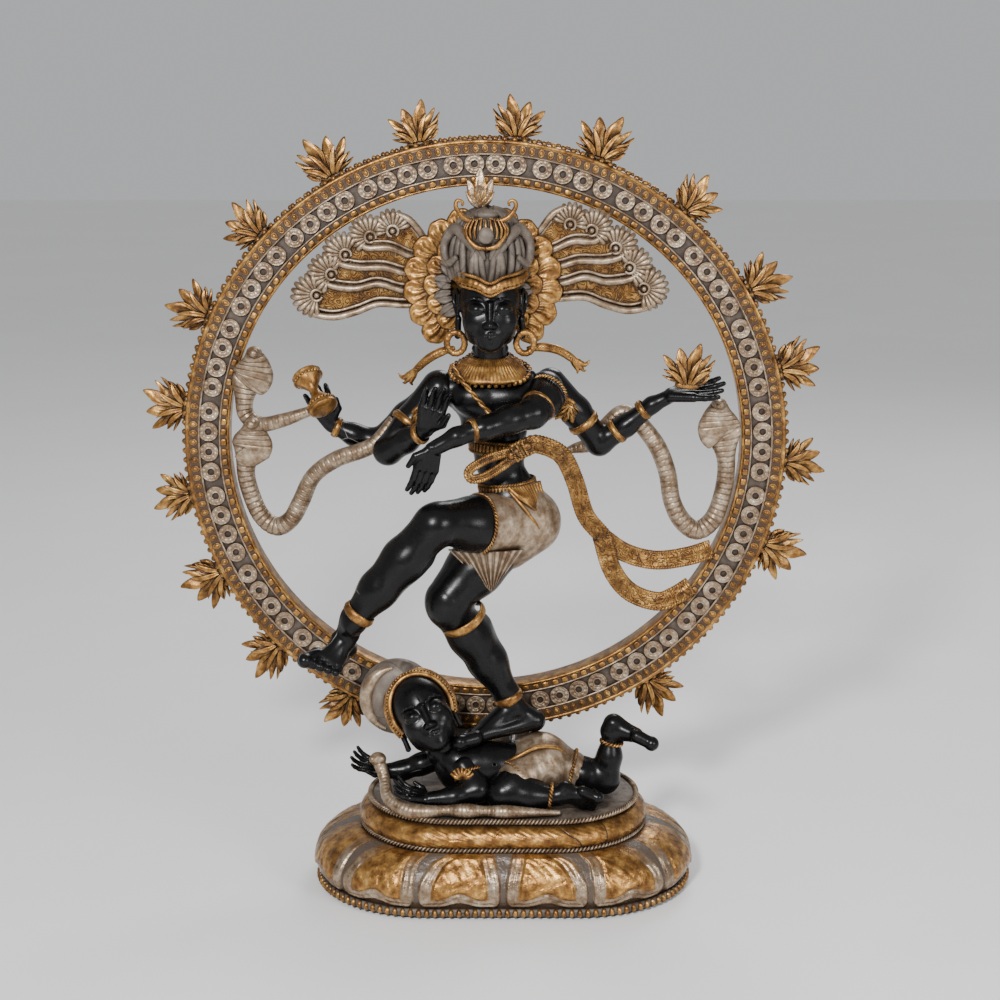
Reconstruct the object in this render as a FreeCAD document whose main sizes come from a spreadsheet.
import FreeCAD, Part
import Sketcher
import os
from math import cos, pi, radians, sin

from FreeCAD import Placement, Rotation, Vector

# Nataraja statue, 1.24 m high: a lotus pedestal, a dwarf lying on its deck, a four-armed dancer
# standing on the dwarf, and a ring of flames behind. Millimetres. The origin is the centre of the
# pedestal's underside, +Z is up, +X is the viewer's right, and the dancer faces -Y.

doc = FreeCAD.newDocument("nataraja_statue")

# ---------------------------------------------------------------------------------------------
# Driving dimensions
# ---------------------------------------------------------------------------------------------

SIZES = {
    "foot_half_width": 286, "foot_half_depth": 169, "plate_thick": 6,
    "petal_half_width": 300, "petal_half_depth": 183, "petal_level": 45,
    "shoulder_half_width": 268, "shoulder_half_depth": 163, "shoulder_level": 86,
    "tier_top_half_width": 237, "tier_top_half_depth": 152, "tier_top_level": 98,
    "plinth_half_width": 230, "plinth_half_depth": 151, "plinth_level": 121,
    "plinth_neck_half_width": 222, "plinth_neck_half_depth": 140, "plinth_top_level": 138,
    "deck_half_width": 207, "deck_half_depth": 129, "deck_thick": 6,
    "wall_thick": 9, "bead_radius": 7.5, "bead_level": 11,
    "lower_rope_radius": 4, "upper_rope_radius": 3.5,
    "ring_centre_across": -28, "ring_centre_up": 695, "ring_front": 86, "ring_thick": 40,
    "ring_inner_radius": 403.5, "hoop_inner_radius": 408, "hoop_outer_radius": 468,
    "ring_outer_radius": 473, "outer_bead_radius": 479,
    "channel_inner_radius": 420, "channel_outer_radius": 453, "channel_deep": 5,
    "rosette_circle_radius": 436.7, "rosette_radius": 15.3, "rosette_hole_radius": 5,
    "flame_tall": 70, "flame_wide": 74, "flame_thick": 18,
    "saddle_wide": 140, "saddle_deep": 32, "saddle_tall": 92,
    "bolt_radius": 4, "bolt_head_radius": 7, "bolt_head_tall": 5, "bolt_long": 30, "bolt_offset": 50,
    "rod_radius": 6, "rod_long": 190, "rod_start": 120, "rod_across": 16, "rod_deep": -8,
    "nut_across_corners": 22, "nut_tall": 10,
    "head_half_width": 49, "head_half_depth": 56, "head_half_tall": 66,
    "halo_outer_radius": 120, "halo_inner_radius": 58, "halo_thick": 12,
    "earring_radius": 14, "earring_wire": 5, "fit_gap": 0.2,
}

sheet = doc.addObject("Spreadsheet::Sheet", "sizes")
for row, (alias, value) in enumerate(SIZES.items(), start=1):
    sheet.set(f"A{row}", alias)
    sheet.set(f"B{row}", str(value))
    sheet.setAlias(f"B{row}", alias)
doc.recompute()


def size(alias):
    """A driving dimension, as the sheet holds it."""
    return float(sheet.get(alias))


def bind(thing, **links):
    """Bind properties of a document object to expressions over the sheet."""
    for prop, expression in links.items():
        thing.setExpression(prop.replace("__", "."), expression)


nodes = {}


def keep(name, thing):
    """Name a finished sub-part."""
    thing.Label = name
    nodes[name] = thing
    return thing


# ---------------------------------------------------------------------------------------------
# Helpers for the pedestal: racetrack outlines, tiers lofted through them, ropes swept round them
# ---------------------------------------------------------------------------------------------


def origin_plane(body, role):
    return next(f for f in body.Origin.OriginFeatures if f.Role == role)


def racetrack(body, name, half_width, half_depth, level):
    """A level sketch with straight sides and half-round ends. Its three sizes are expressions."""
    sketch = body.newObject("Sketcher::SketchObject", name)
    sketch.AttachmentSupport = (origin_plane(body, "XY_Plane"), [""])
    sketch.MapMode = "FlatFace"
    sketch.setExpression("AttachmentOffset.Base.z", level)
    end, deep = 80.0, 120.0
    normal = Vector(0, 0, 1)
    back = sketch.addGeometry(Part.LineSegment(Vector(-end, deep, 0), Vector(end, deep, 0)), False)
    right = sketch.addGeometry(
        Part.ArcOfCircle(Part.Circle(Vector(end, 0, 0), normal, deep), -pi / 2, pi / 2), False)
    front = sketch.addGeometry(Part.LineSegment(Vector(end, -deep, 0), Vector(-end, -deep, 0)), False)
    left = sketch.addGeometry(
        Part.ArcOfCircle(Part.Circle(Vector(-end, 0, 0), normal, deep), pi / 2, 3 * pi / 2), False)
    add = constraint_adder(sketch)
    add("Tangent", back, 2, right, 2)
    add("Tangent", right, 1, front, 1)
    add("Tangent", front, 2, left, 2)
    add("Tangent", left, 1, back, 1)
    add("Symmetric", left, 3, right, 3, -1, 1)
    add("PointOnObject", right, 3, -1)
    add("Equal", left, right)
    radius = add("Radius", right, deep)
    span = add("DistanceX", left, 3, right, 3, 2 * end)
    sketch.renameConstraint(radius, "half_depth")
    sketch.renameConstraint(span, "straight")
    sketch.setExpression("Constraints.half_depth", half_depth)
    sketch.setExpression("Constraints.straight", f"2 * ({half_width} - ({half_depth}))")
    return sketch


def constraint_adder(sketch):
    def add(*spec):
        return sketch.addConstraint(Sketcher.Constraint(*spec))

    return add


def tier(name, outlines, hollow_to=None):
    """A casting lofted through racetracks, each (half width, half depth, level), and hollow below."""
    body = doc.addObject("PartDesign::Body", name)
    outer = [racetrack(body, f"{name}_outline_{i}", *o) for i, o in enumerate(outlines)]
    loft = body.newObject("PartDesign::AdditiveLoft", f"{name}_loft")
    loft.Profile = outer[0]
    loft.Sections = outer[1:]
    loft.Ruled = True
    doc.recompute()
    if hollow_to:
        wall = "sizes.wall_thick"
        shrunk = [(f"{w} - {wall}", f"{d} - {wall}", level) for w, d, level in outlines[:-1]]
        last_w, last_d, _ = outlines[-1]
        shrunk.append((f"{last_w} - {wall}", f"{last_d} - {wall}", hollow_to))
        inner = [racetrack(body, f"{name}_hollow_{i}", *o) for i, o in enumerate(shrunk)]
        core = body.newObject("PartDesign::SubtractiveLoft", f"{name}_core")
        core.Profile = inner[0]
        core.Sections = inner[1:]
        core.Ruled = True
        doc.recompute()
    return keep(name, body)


def rope(name, half_width, half_depth, level, radius):
    """A round strip laid along a racetrack."""
    body = doc.addObject("PartDesign::Body", name)
    track = racetrack(body, f"{name}_track", half_width, half_depth, level)
    section = body.newObject("Sketcher::SketchObject", f"{name}_section")
    section.AttachmentSupport = (origin_plane(body, "YZ_Plane"), [""])
    section.MapMode = "FlatFace"
    add = constraint_adder(section)
    circle = section.addGeometry(Part.Circle(Vector(-120, 100, 0), Vector(0, 0, 1), 5), False)
    across = add("DistanceX", circle, 3, -1, 1, 120)
    up = add("DistanceY", -1, 1, circle, 3, 100)
    thick = add("Radius", circle, 5)
    for index, label, expression in ((across, "across", half_depth), (up, "up", level),
                                     (thick, "thick", radius)):
        section.renameConstraint(index, label)
        section.setExpression(f"Constraints.{label}", expression)
    doc.recompute()
    pipe = body.newObject("PartDesign::AdditivePipe", f"{name}_pipe")
    pipe.Profile = section
    pipe.Spine = (track, [f"Edge{i}" for i in range(1, 5)])
    doc.recompute()
    return keep(name, body)


def slab(name, half_width, half_depth, level, thick, holes=()):
    """A level plate with a racetrack outline and round holes, each (x, y, radius) as expressions."""
    body = doc.addObject("PartDesign::Body", name)
    outline = racetrack(body, f"{name}_outline", half_width, half_depth, level)
    pad = body.newObject("PartDesign::Pad", f"{name}_pad")
    pad.Profile = outline
    pad.setExpression("Length", thick)
    doc.recompute()
    if holes:
        drilled = body.newObject("Sketcher::SketchObject", f"{name}_holes")
        drilled.AttachmentSupport = (origin_plane(body, "XY_Plane"), [""])
        drilled.MapMode = "FlatFace"
        add = constraint_adder(drilled)
        for i, (x, y, r) in enumerate(holes):
            circle = drilled.addGeometry(
                Part.Circle(Vector(-200 + 90 * i, -200, 0), Vector(0, 0, 1), 3), False)
            for kind, args, expression in (("DistanceX", (-1, 1, circle, 3), x),
                                           ("DistanceY", (-1, 1, circle, 3), y),
                                           ("Radius", (circle,), r)):
                index = add(kind, *args, 3.0)
                drilled.renameConstraint(index, f"hole{i}_{kind}")
                drilled.setExpression(f"Constraints.hole{i}_{kind}", expression)
        doc.recompute()
        pocket = body.newObject("PartDesign::Pocket", f"{name}_pocket")
        pocket.Profile = drilled
        pocket.Type = "ThroughAll"
        pocket.Midplane = True
        doc.recompute()
    return keep(name, body)


# ---------------------------------------------------------------------------------------------
# Pedestal
# ---------------------------------------------------------------------------------------------

slab("base_plate", "sizes.foot_half_width", "sizes.foot_half_depth", "0", "sizes.plate_thick")
rope("pedestal_bead_strip", "sizes.foot_half_width + sizes.bead_radius + sizes.fit_gap",
     "sizes.foot_half_depth + sizes.bead_radius + sizes.fit_gap", "sizes.bead_level",
     "sizes.bead_radius")
tier("lotus_tier", [
    ("sizes.foot_half_width", "sizes.foot_half_depth", "sizes.plate_thick"),
    ("sizes.foot_half_width", "sizes.foot_half_depth", "sizes.bead_level + sizes.bead_radius + 1"),
    ("sizes.petal_half_width - 3", "sizes.petal_half_depth - 3", "sizes.petal_level - 15"),
    ("sizes.petal_half_width", "sizes.petal_half_depth", "sizes.petal_level"),
    ("sizes.petal_half_width - 8", "sizes.petal_half_depth - 6", "sizes.petal_level + 22"),
    ("sizes.shoulder_half_width", "sizes.shoulder_half_depth", "sizes.shoulder_level"),
    ("sizes.tier_top_half_width", "sizes.tier_top_half_depth", "sizes.tier_top_level"),
], hollow_to="sizes.tier_top_level - 6")
tier("plinth_moulding", [
    ("sizes.plinth_neck_half_width", "sizes.plinth_neck_half_depth", "sizes.tier_top_level"),
    ("sizes.plinth_neck_half_width", "sizes.plinth_neck_half_depth", "sizes.tier_top_level + 9"),
    ("sizes.plinth_half_width - 2", "sizes.plinth_half_depth - 2", "sizes.plinth_level - 7"),
    ("sizes.plinth_half_width", "sizes.plinth_half_depth", "sizes.plinth_level"),
    ("sizes.plinth_half_width - 4", "sizes.plinth_half_depth - 4", "sizes.plinth_level + 9"),
    ("sizes.deck_half_width + 6", "sizes.deck_half_depth + 6", "sizes.plinth_top_level"),
], hollow_to="sizes.plinth_top_level")
rope("lower_rope", "sizes.plinth_neck_half_width + sizes.lower_rope_radius + 2",
     "sizes.plinth_neck_half_depth + sizes.lower_rope_radius + 2",
     "sizes.tier_top_level + sizes.lower_rope_radius + sizes.fit_gap", "sizes.lower_rope_radius")
rope("upper_rope", "sizes.deck_half_width + sizes.upper_rope_radius + sizes.fit_gap",
     "sizes.deck_half_depth + sizes.upper_rope_radius + sizes.fit_gap",
     "sizes.plinth_top_level + sizes.upper_rope_radius + sizes.fit_gap", "sizes.upper_rope_radius")

BOLT_Y = "(sizes.ring_front + sizes.ring_thick / 2)"
slab("deck_plate", "sizes.deck_half_width", "sizes.deck_half_depth", "sizes.plinth_top_level",
     "sizes.deck_thick",
     holes=[("sizes.rod_across", "sizes.rod_deep", "sizes.rod_radius"),
            ("sizes.ring_centre_across - sizes.bolt_offset", BOLT_Y, "sizes.bolt_radius"),
            ("sizes.ring_centre_across + sizes.bolt_offset", BOLT_Y, "sizes.bolt_radius")])


def primitive(kind, name, placement=None, **links):
    """A Part primitive whose sizes and place are bound to the sheet."""
    thing = doc.addObject(f"Part::{kind}", name)
    if placement:
        thing.Placement = placement
    bind(thing, **links)
    return thing


def joined(kind, name, base, tool):
    """A boolean of two objects."""
    result = doc.addObject(f"Part::{kind}", name)
    result.Base = base
    result.Tool = tool
    return result


DECK_TOP = "(sizes.plinth_top_level + sizes.deck_thick)"
rod = primitive("Cylinder", "rod_body", Radius="sizes.rod_radius", Height="sizes.rod_long",
                Placement__Base__x="sizes.rod_across", Placement__Base__y="sizes.rod_deep",
                Placement__Base__z="sizes.rod_start")
keep("figure_tie_rod", rod)
nut_blank = primitive("Prism", "nut_blank", Circumradius="sizes.nut_across_corners / 2",
                      Height="sizes.nut_tall", Placement__Base__x="sizes.rod_across",
                      Placement__Base__y="sizes.rod_deep",
                      Placement__Base__z="sizes.plinth_top_level - sizes.nut_tall")
nut_bore = primitive("Cylinder", "nut_bore", Radius="sizes.rod_radius", Height="sizes.rod_long",
                     Placement__Base__x="sizes.rod_across", Placement__Base__y="sizes.rod_deep",
                     Placement__Base__z="sizes.rod_start - 20")
keep("tie_rod_nut", joined("Cut", "nut", nut_blank, nut_bore))

# ---------------------------------------------------------------------------------------------
# Ring: a revolved hoop with a front channel, its two rims, rosettes, flames and a saddle
# ---------------------------------------------------------------------------------------------


def revolved(name, corners):
    """A ring turned about the ring's axis, from (radius, depth) corners given as expressions."""
    body = doc.addObject("PartDesign::Body", name)
    sketch = body.newObject("Sketcher::SketchObject", f"{name}_profile")
    sketch.AttachmentSupport = (origin_plane(body, "XY_Plane"), [""])
    sketch.MapMode = "FlatFace"
    add = constraint_adder(sketch)
    places = [(sheet_value(r), sheet_value(d)) for r, d in corners]
    count = len(corners)
    for i in range(count):
        a, b = places[i], places[(i + 1) % count]
        sketch.addGeometry(Part.LineSegment(Vector(*a, 0), Vector(*b, 0)), False)
    for i in range(count):
        add("Coincident", i, 2, (i + 1) % count, 1)
    for i, (r, d) in enumerate(corners):
        out = add("DistanceX", -1, 1, i, 1, places[i][0])
        sketch.renameConstraint(out, f"radius{i}")
        sketch.setExpression(f"Constraints.radius{i}", r)
        if d == "0":
            add("PointOnObject", i, 1, -1)
            continue
        deep = add("DistanceY", -1, 1, i, 1, places[i][1])
        sketch.renameConstraint(deep, f"depth{i}")
        sketch.setExpression(f"Constraints.depth{i}", d)
    doc.recompute()
    turn = body.newObject("PartDesign::Revolution", f"{name}_turn")
    turn.Profile = sketch
    turn.ReferenceAxis = (sketch, ["V_Axis"])
    turn.Angle = 360
    bind(body, Placement__Base__x="sizes.ring_centre_across", Placement__Base__y="sizes.ring_front",
         Placement__Base__z="sizes.ring_centre_up")
    doc.recompute()
    return keep(name, body)


def sheet_value(expression):
    """The present value of a sum of sheet cells and plain numbers."""
    total, sign = 0.0, 1.0
    for word in expression.split():
        if word in "+-":
            sign = 1.0 if word == "+" else -1.0
            continue
        top, _, below = word.partition("/")
        value = size(top[6:]) if top.startswith("sizes.") else float(top)
        total += sign * value / (float(below) if below else 1.0)
    return total


THICK = "sizes.ring_thick"
revolved("ring_hoop", [
    ("sizes.hoop_inner_radius", "0"), ("sizes.channel_inner_radius", "0"),
    ("sizes.channel_inner_radius", "sizes.channel_deep"),
    ("sizes.channel_outer_radius", "sizes.channel_deep"),
    ("sizes.channel_outer_radius", "0"), ("sizes.hoop_outer_radius", "0"),
    ("sizes.hoop_outer_radius", THICK), ("sizes.hoop_inner_radius", THICK)])
revolved("ring_rim_inner", [
    ("sizes.ring_inner_radius", "0"), ("sizes.hoop_inner_radius", "0"),
    ("sizes.hoop_inner_radius", THICK), ("sizes.ring_inner_radius", THICK)])
revolved("ring_rim_outer", [
    ("sizes.hoop_outer_radius", "0"), ("sizes.ring_outer_radius", "0"),
    ("sizes.ring_outer_radius", "14"), ("sizes.outer_bead_radius", "17"),
    ("sizes.outer_bead_radius", "23"), ("sizes.ring_outer_radius", "26"),
    ("sizes.ring_outer_radius", THICK), ("sizes.hoop_outer_radius", THICK)])

# The saddle is a block on the deck whose top is hollowed to the ring, bolted up through the deck.
ALONG_Y = Rotation(Vector(1, 0, 0), -90)
saddle_block = primitive(
    "Box", "saddle_block", Length="sizes.saddle_wide", Width="sizes.saddle_deep",
    Height="sizes.saddle_tall",
    Placement__Base__x="sizes.ring_centre_across - sizes.saddle_wide / 2",
    Placement__Base__y=f"{BOLT_Y} - sizes.saddle_deep / 2", Placement__Base__z=DECK_TOP)
saddle_round = primitive(
    "Cylinder", "saddle_round", Placement(Vector(), ALONG_Y),
    Radius="sizes.outer_bead_radius + sizes.fit_gap", Height="sizes.ring_thick * 3",
    Placement__Base__x="sizes.ring_centre_across",
    Placement__Base__y="sizes.ring_front - sizes.ring_thick",
    Placement__Base__z="sizes.ring_centre_up")
saddle_holes = []
bolts = []
for side, word in ((-1, "left"), (1, "right")):
    place = {"Placement__Base__x": f"sizes.ring_centre_across + {side} * sizes.bolt_offset",
             "Placement__Base__y": BOLT_Y}
    saddle_holes.append(primitive(
        "Cylinder", f"saddle_hole_{word}", Radius="sizes.bolt_radius",
        Height="sizes.bolt_long", Placement__Base__z="sizes.plinth_top_level", **place))
    bolts.append(primitive(
        "Cylinder", f"bolt_shank_{word}", Radius="sizes.bolt_radius",
        Height="sizes.bolt_long", Placement__Base__z="sizes.plinth_top_level", **place))
    bolts.append(primitive(
        "Cylinder", f"bolt_head_{word}", Radius="sizes.bolt_head_radius",
        Height="sizes.bolt_head_tall",
        Placement__Base__z="sizes.plinth_top_level - sizes.bolt_head_tall", **place))
hollowed = joined("Cut", "saddle_hollowed", saddle_block, saddle_round)
half_drilled = joined("Cut", "saddle_half_drilled", hollowed, saddle_holes[0])
keep("ring_saddle", joined("Cut", "saddle", half_drilled, saddle_holes[1]))
bolt_pair = doc.addObject("Part::MultiFuse", "bolt_pair")
bolt_pair.Shapes = bolts
keep("saddle_bolts", bolt_pair)

# ---------------------------------------------------------------------------------------------
# Head and halo
# ---------------------------------------------------------------------------------------------

HEAD = Vector(-20, -18, 925)
HALO = Vector(-31, 14, 955)
head_shape = primitive("Ellipsoid", "head_form", Placement(HEAD, Rotation()),
                       Radius1="sizes.head_half_tall", Radius2="sizes.head_half_width",
                       Radius3="sizes.head_half_depth")
head_shape.Angle1, head_shape.Angle2, head_shape.Angle3 = -90, 90, 360
keep("head", head_shape)
earring_pair = []
for word, x, z in (("left", -70, 868), ("right", 31, 878)):
    earring_pair.append(primitive(
        "Torus", f"earring_{word}", Placement(Vector(x, -22, z), ALONG_Y),
        Radius1="sizes.earring_radius", Radius2="sizes.earring_wire"))
doc.recompute()

# ---------------------------------------------------------------------------------------------
# Castings: rounded limbs, cut to fit against the pieces that they meet
# ---------------------------------------------------------------------------------------------

LOST_SHARE_ALLOWED = 0.03
BOOLEAN_TOLERANCES = (0.0, 0.001, 0.01, 0.05)
SHARP_TURN = 70.0
# Rounding at a limb's end: how far past the end a section lies, and its size, in shares of the radius.
END_SECTIONS = [(0.45, 0.85), (0.8, 0.5)]
OVAL_STEPS = 8


def one_solid(shape, name="shape"):
    """The only solid of a shape. Crumbs left by a cut are dropped, but never a real share of it."""
    largest = max(shape.Solids, key=lambda s: s.Volume)
    lost = 1 - largest.Volume / shape.Volume
    if lost > LOST_SHARE_ALLOWED:
        raise RuntimeError(f"{name} falls into {len(shape.Solids)} solids and would lose {lost:.0%}")
    return largest


def sound(shape):
    """Whether a boolean has left a valid shape that holds something."""
    return not shape.isNull() and shape.isValid() and shape.Volume > 1


def attempt(boolean, others, tolerance):
    """A boolean's result, or None where it gives nothing."""
    try:
        shape = boolean(others, tolerance)
        return shape if sound(shape) else None
    except (ValueError, Part.OCCError):
        return None


def fused(first, others):
    """The union of shapes, at the finest tolerance that gives one sound solid."""
    least = max(s.Volume for s in [first] + others) * 0.999
    for tolerance in BOOLEAN_TOLERANCES:
        shape = attempt(first.fuse, others, tolerance)
        if shape and len(shape.Solids) == 1 and shape.Volume > least:
            return shape.Solids[0]
    raise RuntimeError("no sound union")


def carved(shape, tool):
    """A shape less another, at the finest tolerance that gives a sound result.

    What is left and what is common have to add up to what there was.
    """
    for tolerance in BOOLEAN_TOLERANCES:
        left = attempt(shape.cut, [tool], tolerance)
        if not left:
            continue
        common = attempt(shape.common, [tool], tolerance)
        shared = common.Volume if common else 0
        if abs(left.Volume + shared - shape.Volume) < 0.01 * shape.Volume:
            return left
    raise RuntimeError("no sound cut")


def ring_wire(centre, turn, half_a, half_b):
    """A closed round or oval section, its plane turned from level."""
    if abs(half_a - half_b) < 0.01:
        edge = Part.Circle(Vector(), Vector(0, 0, 1), half_a).toShape()
    elif half_a > half_b:
        edge = Part.Ellipse(Vector(), half_a, half_b).toShape()
    else:
        edge = Part.Ellipse(Vector(), half_b, half_a).toShape()
        edge.rotate(Vector(), Vector(0, 0, 1), 90)
    edge.Placement = Placement(centre, turn) * edge.Placement
    return Part.Wire(edge)


def stretch(points):
    """One solid through (place, radius) sections, each square to the bisector of its two runs."""
    places = [Vector(*p[:3]) for p in points]
    runs = [(b - a).normalize() for a, b in zip(places, places[1:])]
    aims = [runs[0]] + [(a + b).normalize() for a, b in zip(runs, runs[1:])] + [runs[-1]]
    sections = list(zip(places, aims, [p[3] for p in points]))
    for out, share in END_SECTIONS:
        first, last = points[0][3], points[-1][3]
        sections.insert(0, (places[0] - runs[0] * out * first, runs[0], share * first))
        sections.append((places[-1] + runs[-1] * out * last, runs[-1], share * last))
    turn = Rotation(Vector(0, 0, 1), sections[0][1])
    wires, aim_before = [], sections[0][1]
    for place, aim, radius in sections:
        turn = Rotation(aim_before, aim) * turn
        aim_before = aim
        wires.append(ring_wire(place, turn, radius, radius))
    return Part.makeLoft(wires, True, True)


def limb(points):
    """A rounded limb through (x, y, z, radius) points, in separate stretches at each sharp turn."""
    stretches, start = [], 0
    for i in range(1, len(points) - 1):
        before = Vector(*points[i][:3]) - Vector(*points[i - 1][:3])
        after = Vector(*points[i + 1][:3]) - Vector(*points[i][:3])
        if before.getAngle(after) > radians(SHARP_TURN):
            stretches.append(stretch(points[start:i + 1]))
            start = i
    stretches.append(stretch(points[start:]))
    return fused(stretches[0], stretches[1:]) if len(stretches) > 1 else stretches[0]


def stack(sections):
    """A solid through level oval sections, each (x, y, z, half width, half depth)."""
    return Part.makeLoft([ring_wire(Vector(x, y, z), Rotation(), a, b) for x, y, z, a, b in sections],
                         True, True)


def oval(centre, half_x, half_y, half_z):
    """A rounded oval form, built of level sections with a small flat at its top and underside."""
    x, y, z = centre
    sections = []
    for step in range(OVAL_STEPS + 1):
        lean = radians(-80 + 160 * step / OVAL_STEPS)
        sections.append((x, y, z + half_z * sin(lean), half_x * cos(lean), half_y * cos(lean)))
    return stack(sections)


def band(at, towards, radius, wire):
    """A round band about the line from one point to another."""
    a, b = Vector(*at[:3]), Vector(*towards[:3])
    return Part.makeTorus(radius, wire, a, b - a)


def between(a, b, share):
    """The point and radius part of the way from one limb point to the next."""
    return tuple(p + share * (q - p) for p, q in zip(a, b))


def plate(corners, front, thick):
    """An upright plate cut to an outline of (x, z) corners."""
    wire = Part.makePolygon([Vector(x, front, z) for x, z in corners + corners[:1]])
    return Part.Face(wire).extrude(Vector(0, thick, 0))


def casting(name, shape, *against, group=False):
    """Cut a shape clear of earlier pieces and keep it as a sub-part."""
    for other in against:
        if shape.BoundBox.intersect(nodes[other].Shape.BoundBox):
            try:
                shape = carved(shape, nodes[other].Shape)
            except RuntimeError as fault:
                raise RuntimeError(f"{name} against {other}: {fault}") from fault
    if not group:
        shape = one_solid(shape, name)
    thing = doc.addObject("Part::Feature", name)
    thing.Shape = shape
    thing.Placement = Placement()
    return keep(name, thing)


# Dwarf, lying on the deck with its head to the viewer's left.
DECK = size("plinth_top_level") + size("deck_thick")
NEAR_ARM = [(-60, -62, 208, 22), (-40, -86, 178, 19), (-112, -99, 168, 14), (-148, -97, 180, 14),
            (-166, -97, 192, 8)]
FAR_ARM = [(-98, -12, 205, 20), (-160, -20, 188, 15), (-205, -28, 190, 13), (-224, -30, 208, 8)]
NEAR_LEG = [(42, -48, 192, 32), (0, -84, 176, 27), (82, -88, 168, 19), (98, -86, 184, 11),
            (139, -86, 154, 9)]
FAR_LEG = [(92, -10, 190, 28), (161, -20, 174, 25), (172, -20, 238, 17), (168, -17, 260, 14),
           (204, -20, 258, 11), (226, -25, 238, 8)]


def on_deck(shape):
    """Take away whatever is under the deck's top."""
    below = Part.makeBox(900, 900, DECK, Vector(-450, -450, 0))
    return shape.cut(below)


casting("dwarf_body", on_deck(limb([(-102, -38, 232, 20), (-60, -32, 196, 46), (-5, -26, 186, 43),
                                    (50, -14, 190, 46)])), "figure_tie_rod")
casting("dwarf_head", oval((-124, -46, 290), 46, 48, 52), "dwarf_body")
casting("dwarf_headdress", oval((-166, -20, 308), 62, 46, 66), "dwarf_head", "dwarf_body")
casting("dwarf_far_arm", on_deck(limb(FAR_ARM)), "dwarf_body", "dwarf_head", "dwarf_headdress")
casting("dwarf_near_arm", on_deck(limb(NEAR_ARM)), "dwarf_body", "dwarf_head")
casting("dwarf_near_leg", on_deck(limb(NEAR_LEG)), "dwarf_body", "dwarf_near_arm")
casting("dwarf_far_leg", on_deck(limb(FAR_LEG)), "dwarf_body", "dwarf_near_leg")
casting("dwarf_loincloth", on_deck(oval((56, -18, 200), 56, 54, 52)), "dwarf_body",
        "dwarf_near_leg", "dwarf_far_leg", "figure_tie_rod")
casting("dwarf_armlet", band(between(NEAR_ARM[0], NEAR_ARM[1], 0.35), NEAR_ARM[1], 21, 5),
        "dwarf_near_arm", "dwarf_body")
near_ankle, far_ankle = between(NEAR_LEG[1], NEAR_LEG[2], 0.85), between(FAR_LEG[1], FAR_LEG[2], 0.9)
ankle_bands = Part.makeCompound([one_solid(band(near_ankle, NEAR_LEG[2], 20, 4)
                                           .cut(nodes["dwarf_near_leg"].Shape)),
                                 one_solid(band(far_ankle, FAR_LEG[2], 18, 4)
                                           .cut(nodes["dwarf_far_leg"].Shape))])
casting("dwarf_anklets", on_deck(ankle_bands), group=True)
casting("dwarf_cobra", on_deck(limb([
    (-196, -52, 216, 13), (-186, -64, 188, 10), (-174, -96, 160, 11), (-150, -115, 155, 11),
    (-98, -119, 155, 11), (-36, -119, 158, 10), (10, -121, 154, 9), (88, -113, 150, 6)])),
    "dwarf_near_arm", "dwarf_far_arm", "dwarf_near_leg", "dwarf_anklets", "upper_rope")

# Dancer: limbs first, then the dress and jewellery that sit on them.
RAISED_LEG = [(12, -18, 588, 46), (-104, -108, 612, 34), (-166, -112, 540, 34), (-229, -102, 458, 21),
              (-245, -92, 424, 21), (-270, -120, 398, 16)]
STANDING_LEG = [(2, 0, 570, 46), (-80, -50, 474, 36), (-28, -22, 388, 33), (12, -10, 297, 21),
                (46, -4, 268, 18), (-58, -42, 254, 11)]
BLESSING_ARM = [(-104, -6, 798, 29), (-178, -34, 708, 24), (-120, -74, 747, 16), (-98, -84, 782, 15),
                (-95, -82, 824, 7)]
CROSSING_ARM = [(70, -20, 798, 28), (46, -66, 774, 23), (-53, -113, 755, 15), (-106, -115, 728, 15),
                (-136, -106, 666, 7)]
DRUM_ARM = [(-112, 26, 785, 23), (-195, 38, 706, 20), (-269, 35, 734, 14), (-294, 30, 772, 14)]
FLAME_ARM = [(80, 24, 798, 26), (151, 42, 702, 21), (224, 32, 764, 14), (280, 22, 788, 12),
             (332, 18, 790, 8)]

# Trunk sections from the hips up to the neck: (x, y, z, half width, half depth).
TRUNK = [(18, 0, 572, 40, 32), (18, 0, 600, 55, 43), (14, 0, 630, 53, 40), (-4, -3, 670, 40, 31),
         (-8, -4, 690, 39, 30), (-12, -2, 730, 53, 40), (-19, 0, 780, 68, 47), (-20, -1, 812, 74, 44),
         (-20, -4, 830, 50, 34), (-20, -8, 842, 27, 25), (-20, -14, 872, 23, 23)]
casting("torso", stack(TRUNK), "head")
casting("raised_leg", limb(RAISED_LEG), "torso")
casting("standing_leg", limb(STANDING_LEG), "torso", "raised_leg", "dwarf_body", "dwarf_head",
        "dwarf_loincloth", "figure_tie_rod")
casting("blessing_arm", limb(BLESSING_ARM), "torso")
casting("crossing_arm", limb(CROSSING_ARM), "torso", "blessing_arm")
casting("drum_arm", limb(DRUM_ARM), "torso", "blessing_arm")
casting("flame_arm", limb(FLAME_ARM), "torso", "crossing_arm")
LIMBS = ("torso", "raised_leg", "standing_leg", "blessing_arm", "crossing_arm", "drum_arm",
         "flame_arm")


casting("belt", band((11, -1, 644), (7, -1, 700), 54, 8), *LIMBS)
casting("shorts", limb([(14, -12, 586, 57), (50, 4, 588, 58)]), "belt", *LIMBS)
casting("loin_flap", plate([(-84, 546), (30, 544), (-20, 494)], -78, 8), "shorts", *LIMBS)
casting("waist_band", band((-10, -3, 708), (-9, -3, 760), 49, 6), *LIMBS)
casting("necklace", band((-20, -8, 836), (-20, -14, 900), 46, 10), "head", *LIMBS)
casting("sacred_thread", limb([(-78, -34, 842, 4), (-58, -50, 815, 4), (-26, -56, 778, 4)]),
        "necklace", *LIMBS)

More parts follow.
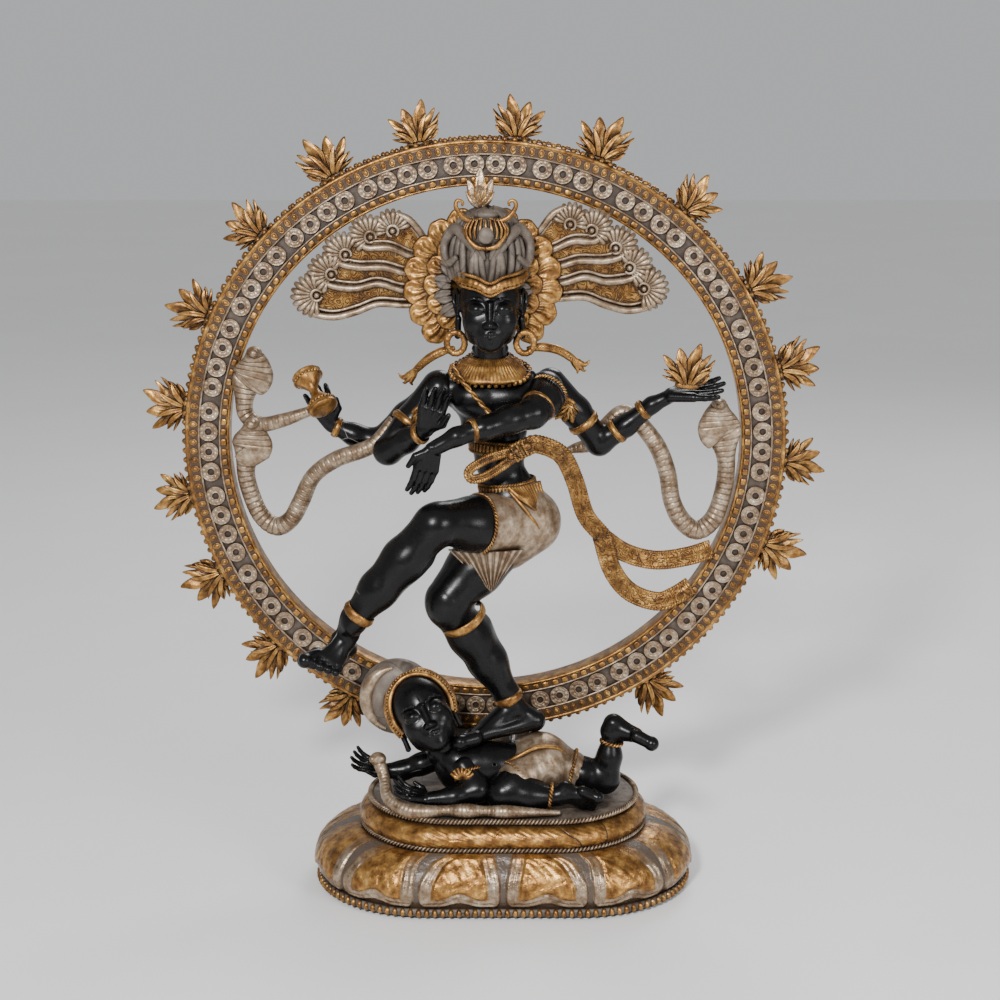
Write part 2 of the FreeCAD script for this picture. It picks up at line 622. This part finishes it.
casting("hair_crown", oval((-30, -2, 1010), 63, 55, 70), "head")
casting("tiara_band", band((-20, -22, 968), (-20, -34, 1000), 47, 8), "head", "hair_crown")
casting("crown_ornament", oval((-26, -50, 1046), 35, 20, 36), "head", "hair_crown", "tiara_band")
casting("crown_feather", plate([(-46, 1066), (-62, 1098), (-48, 1098), (-34, 1130), (-22, 1096),
                                (-8, 1112), (-8, 1078), (-16, 1066)], -12, 10),
        "hair_crown", "crown_ornament")
earrings = [one_solid(e.Shape.cut(nodes["head"].Shape).cut(nodes["necklace"].Shape))
            for e in earring_pair]
casting("earrings", Part.makeCompound(earrings), *LIMBS, group=True)
halo_disc = Part.makeCylinder(size("halo_outer_radius"), size("halo_thick"), HALO, Vector(0, 1, 0))
halo_hole = Part.makeCylinder(size("halo_inner_radius"), size("halo_thick"), HALO, Vector(0, 1, 0))
casting("halo_petals", halo_disc.cut(halo_hole), "head", "hair_crown", "necklace", "earrings", *LIMBS)


def hair_wing(name, outline, tips, tip_radius):
    """A fan of locks: a plate with a round curl at each tip, fixed behind the halo."""
    front, thick = 27, 14
    shape = plate(outline, front, thick)
    curls = [Part.makeCylinder(tip_radius, thick, Vector(x, front, z), Vector(0, 1, 0))
             for x, z in tips]
    casting(name, shape.fuse(curls).removeSplitter(), "halo_petals", "hair_crown", "head", *LIMBS)


hair_wing("hair_wing_left",
          [(-60, 1000), (-128, 1056), (-184, 1040), (-232, 1010), (-276, 972), (-305, 930),
           (-251, 903), (-130, 912), (-60, 930)],
          [(-146, 1054), (-190, 1030), (-238, 1002), (-282, 966), (-310, 938)], 18)
hair_wing("hair_wing_right",
          [(0, 1000), (92, 1066), (140, 1050), (176, 1022), (212, 992), (238, 958),
           (180, 918), (74, 920), (0, 930)],
          [(104, 1064), (144, 1042), (180, 1016), (216, 988), (242, 962)], 18)

casting("shoulder_scroll_left", limb([(-76, -14, 862, 6), (-116, -16, 843, 8), (-148, -16, 822, 11),
                                      (-164, -16, 812, 5)]), "halo_petals", "necklace", "earrings",
        "sacred_thread", *LIMBS)
casting("shoulder_scroll_right", limb([(42, -14, 856, 6), (86, -14, 858, 7), (126, -14, 833, 10)]),
        "halo_petals", "necklace", "earrings", *LIMBS)


def arm_bands(name, places, wire):
    """A group of bands, each (limb name, limb points, segment, share along it)."""
    rings = []
    for owner, points, segment, share in places:
        here = between(points[segment], points[segment + 1], share)
        ring = band(here, points[segment + 1], here[3] * 1.02, wire)
        for other in LIMBS:
            if ring.BoundBox.intersect(nodes[other].Shape.BoundBox):
                ring = ring.cut(nodes[other].Shape)
        rings.append(one_solid(ring))
    casting(name, Part.makeCompound(rings), group=True)


arm_bands("armlets", [("blessing_arm", BLESSING_ARM, 0, 0.55), ("crossing_arm", CROSSING_ARM, 0, 0.7),
                      ("flame_arm", FLAME_ARM, 0, 0.5)], 5)
arm_bands("bracelets", [("blessing_arm", BLESSING_ARM, 1, 0.9), ("crossing_arm", CROSSING_ARM, 1, 0.92),
                        ("drum_arm", DRUM_ARM, 1, 0.85), ("flame_arm", FLAME_ARM, 1, 0.35),
                        ("flame_arm", FLAME_ARM, 1, 0.9)], 4)
arm_bands("leg_bands", [("standing_leg", STANDING_LEG, 1, 0.35),
                        ("standing_leg", STANDING_LEG, 2, 0.9),
                        ("raised_leg", RAISED_LEG, 2, 0.85)], 5)

casting("drum", limb([(-300, 6, 818, 23), (-287, 2, 790, 10), (-273, -4, 762, 23)]), "drum_arm",
        "bracelets")
casting("hand_flame", plate([(266, 800), (250, 846), (268, 838), (284, 868), (296, 842), (320, 862),
                             (316, 822), (300, 800)], 4, 8), "flame_arm")

# Cobras: a long body and a spread hood. They and the sash's tails stop a glue line short of the ring.


def cobra(name, points, hood_centre, hood_sizes, *against):
    shape = fused(limb(points), [oval(hood_centre, *hood_sizes)])
    casting(name, shape, *against, "bracelets", "armlets", *LIMBS)


cobra("cobra_right",
      [(108, 76, 688, 12), (140, 69, 698, 13), (164, 64, 730, 12), (186, 62, 748, 12),
       (208, 62, 736, 13), (240, 68, 695, 14), (258, 71, 650, 14), (266, 72, 605, 14),
       (282, 73, 572, 15), (306, 76, 554, 15), (330, 80, 568, 15), (344, 83, 600, 14),
       (352, 83, 650, 14), (346, 75, 705, 12)], (336, 70, 732), (36, 12, 40))
cobra("cobra_upper_left",
      [(-302, 50, 752, 10), (-345, 57, 736, 11), (-380, 68, 728, 12), (-404, 78, 744, 14),
       (-402, 79, 786, 14)],
      (-386, 70, 815), (34, 12, 38), "drum")
cobra("cobra_lower_left",
      [(-169, 4, 749, 9), (-202, 4, 708, 12), (-258, 14, 684, 13), (-296, 34, 652, 13),
       (-318, 54, 606, 14), (-335, 66, 575, 14), (-358, 74, 561, 15), (-382, 79, 576, 14),
       (-398, 82, 610, 14), (-406, 82, 650, 14), (-398, 75, 690, 12)],
      (-392, 70, 704), (34, 12, 36), "drum", "cobra_upper_left")

# Sash: a looped knot in front of the waist, a long run to the right, and two tails to the ring.
SASH_RADIUS = 10
run = [(-46, -76, 688), (-18, -82, 706), (4, -84, 715), (48, -72, 729), (88, -50, 708),
       (110, -14, 657), (128, 12, 596), (155, 30, 558)]
upper_tail = [(152, 28, 556), (192, 50, 525), (241, 66, 508), (290, 76, 511), (316, 82, 519)]
lower_tail = [(158, 32, 552), (172, 40, 499), (202, 60, 457), (246, 72, 440), (272, 80, 451)]
strips = [limb([(*p, SASH_RADIUS - thinner) for p in path])
          for path, thinner in ((run, 0), (upper_tail, 0.7), (lower_tail, 1.1))]
casting("sash", fused(strips[0], strips[1:]), "shorts", "belt", "waist_band",
        "armlets", "bracelets", "cobra_right", *LIMBS)

# Rosettes lie in the channel in groups of four, with a wider gap between groups.
ROSETTE_GROUPS, ROSETTES_IN_GROUP = 20, 4
RING_CENTRE = Vector(size("ring_centre_across"), size("ring_front"), size("ring_centre_up"))
NARROW_STEP = 32.5 / size("rosette_circle_radius")


def round_ring(radius, angle, depth=0):
    """The point on the ring at an angle from +X, in radians."""
    return RING_CENTRE + Vector(radius * cos(angle), depth, radius * sin(angle))


rosettes = []
for group in range(ROSETTE_GROUPS):
    for place in range(ROSETTES_IN_GROUP):
        angle = 2 * pi * group / ROSETTE_GROUPS + (place - 1.5) * NARROW_STEP
        centre = round_ring(size("rosette_circle_radius"), angle, -1)
        tall = size("channel_deep") + 1
        disc = Part.makeCylinder(size("rosette_radius"), tall, centre, Vector(0, 1, 0))
        hole = Part.makeCylinder(size("rosette_hole_radius"), tall, centre, Vector(0, 1, 0))
        rosettes.append(disc.cut(hole))
casting("ring_rosettes", Part.makeCompound(rosettes), group=True)

# Flames: leaf-like finials round the rim. One is lost, at about -39 degrees, and stays lost.
FLAME_ANGLES = [-56.7, -21, -4.3, 13.8, 30.2, 49.6, 68.3, 84.2, 102.3, 119.5, 137, 155.3, 173.7,
                190.7, 207.2, 225.5, 242.7]
FLAME_OUTLINE = [(0.5, 0.0), (0.62, 0.22), (0.98, 0.38), (0.78, 0.46), (1.0, 0.66), (0.72, 0.64),
                 (0.8, 0.88), (0.5, 0.74), (0.0, 1.0)]


def flame(angle):
    """One finial: an outline of tongues, in shares of half its width and of its height."""
    half, tall = size("flame_wide") / 2, size("flame_tall")
    root = size("ring_outer_radius")
    right = [(half * across, root - 12 + (tall + 12) * up) for across, up in FLAME_OUTLINE]
    left = [(-x, z) for x, z in reversed(right[:-1])]
    front = (size("ring_thick") - size("flame_thick")) / 2
    leaf = plate(right + left, front, size("flame_thick"))
    rim = Part.makeCylinder(size("outer_bead_radius") + size("fit_gap"), size("ring_thick"),
                            Vector(), Vector(0, 1, 0))
    leaf = leaf.cut(rim)
    leaf.Placement = Placement(RING_CENTRE, Rotation(Vector(0, 1, 0), 90 - angle))
    return leaf


casting("ring_flames", Part.makeCompound([flame(a) for a in FLAME_ANGLES]), group=True)

# ---------------------------------------------------------------------------------------------
# Check and write
# ---------------------------------------------------------------------------------------------

doc.recompute()
faults = [f"{o.Label}: {o.State}" for o in doc.Objects
          if "Invalid" in o.State or "Error" in o.State]
faults += [f"{name}: null or not valid" for name, thing in nodes.items()
           if thing.Shape.isNull() or not thing.Shape.isValid() or not thing.Shape.Solids]
if faults:
    raise RuntimeError("; ".join(faults))

os.makedirs("parts", exist_ok=True)
for name, thing in nodes.items():
    thing.Shape.exportStep(os.path.join("parts", f"{name}.step"))
    print(f"{name}: {len(thing.Shape.Solids)} solids, {thing.Shape.Volume / 1000:.1f} cm3")
print(len(nodes), "sub-parts")
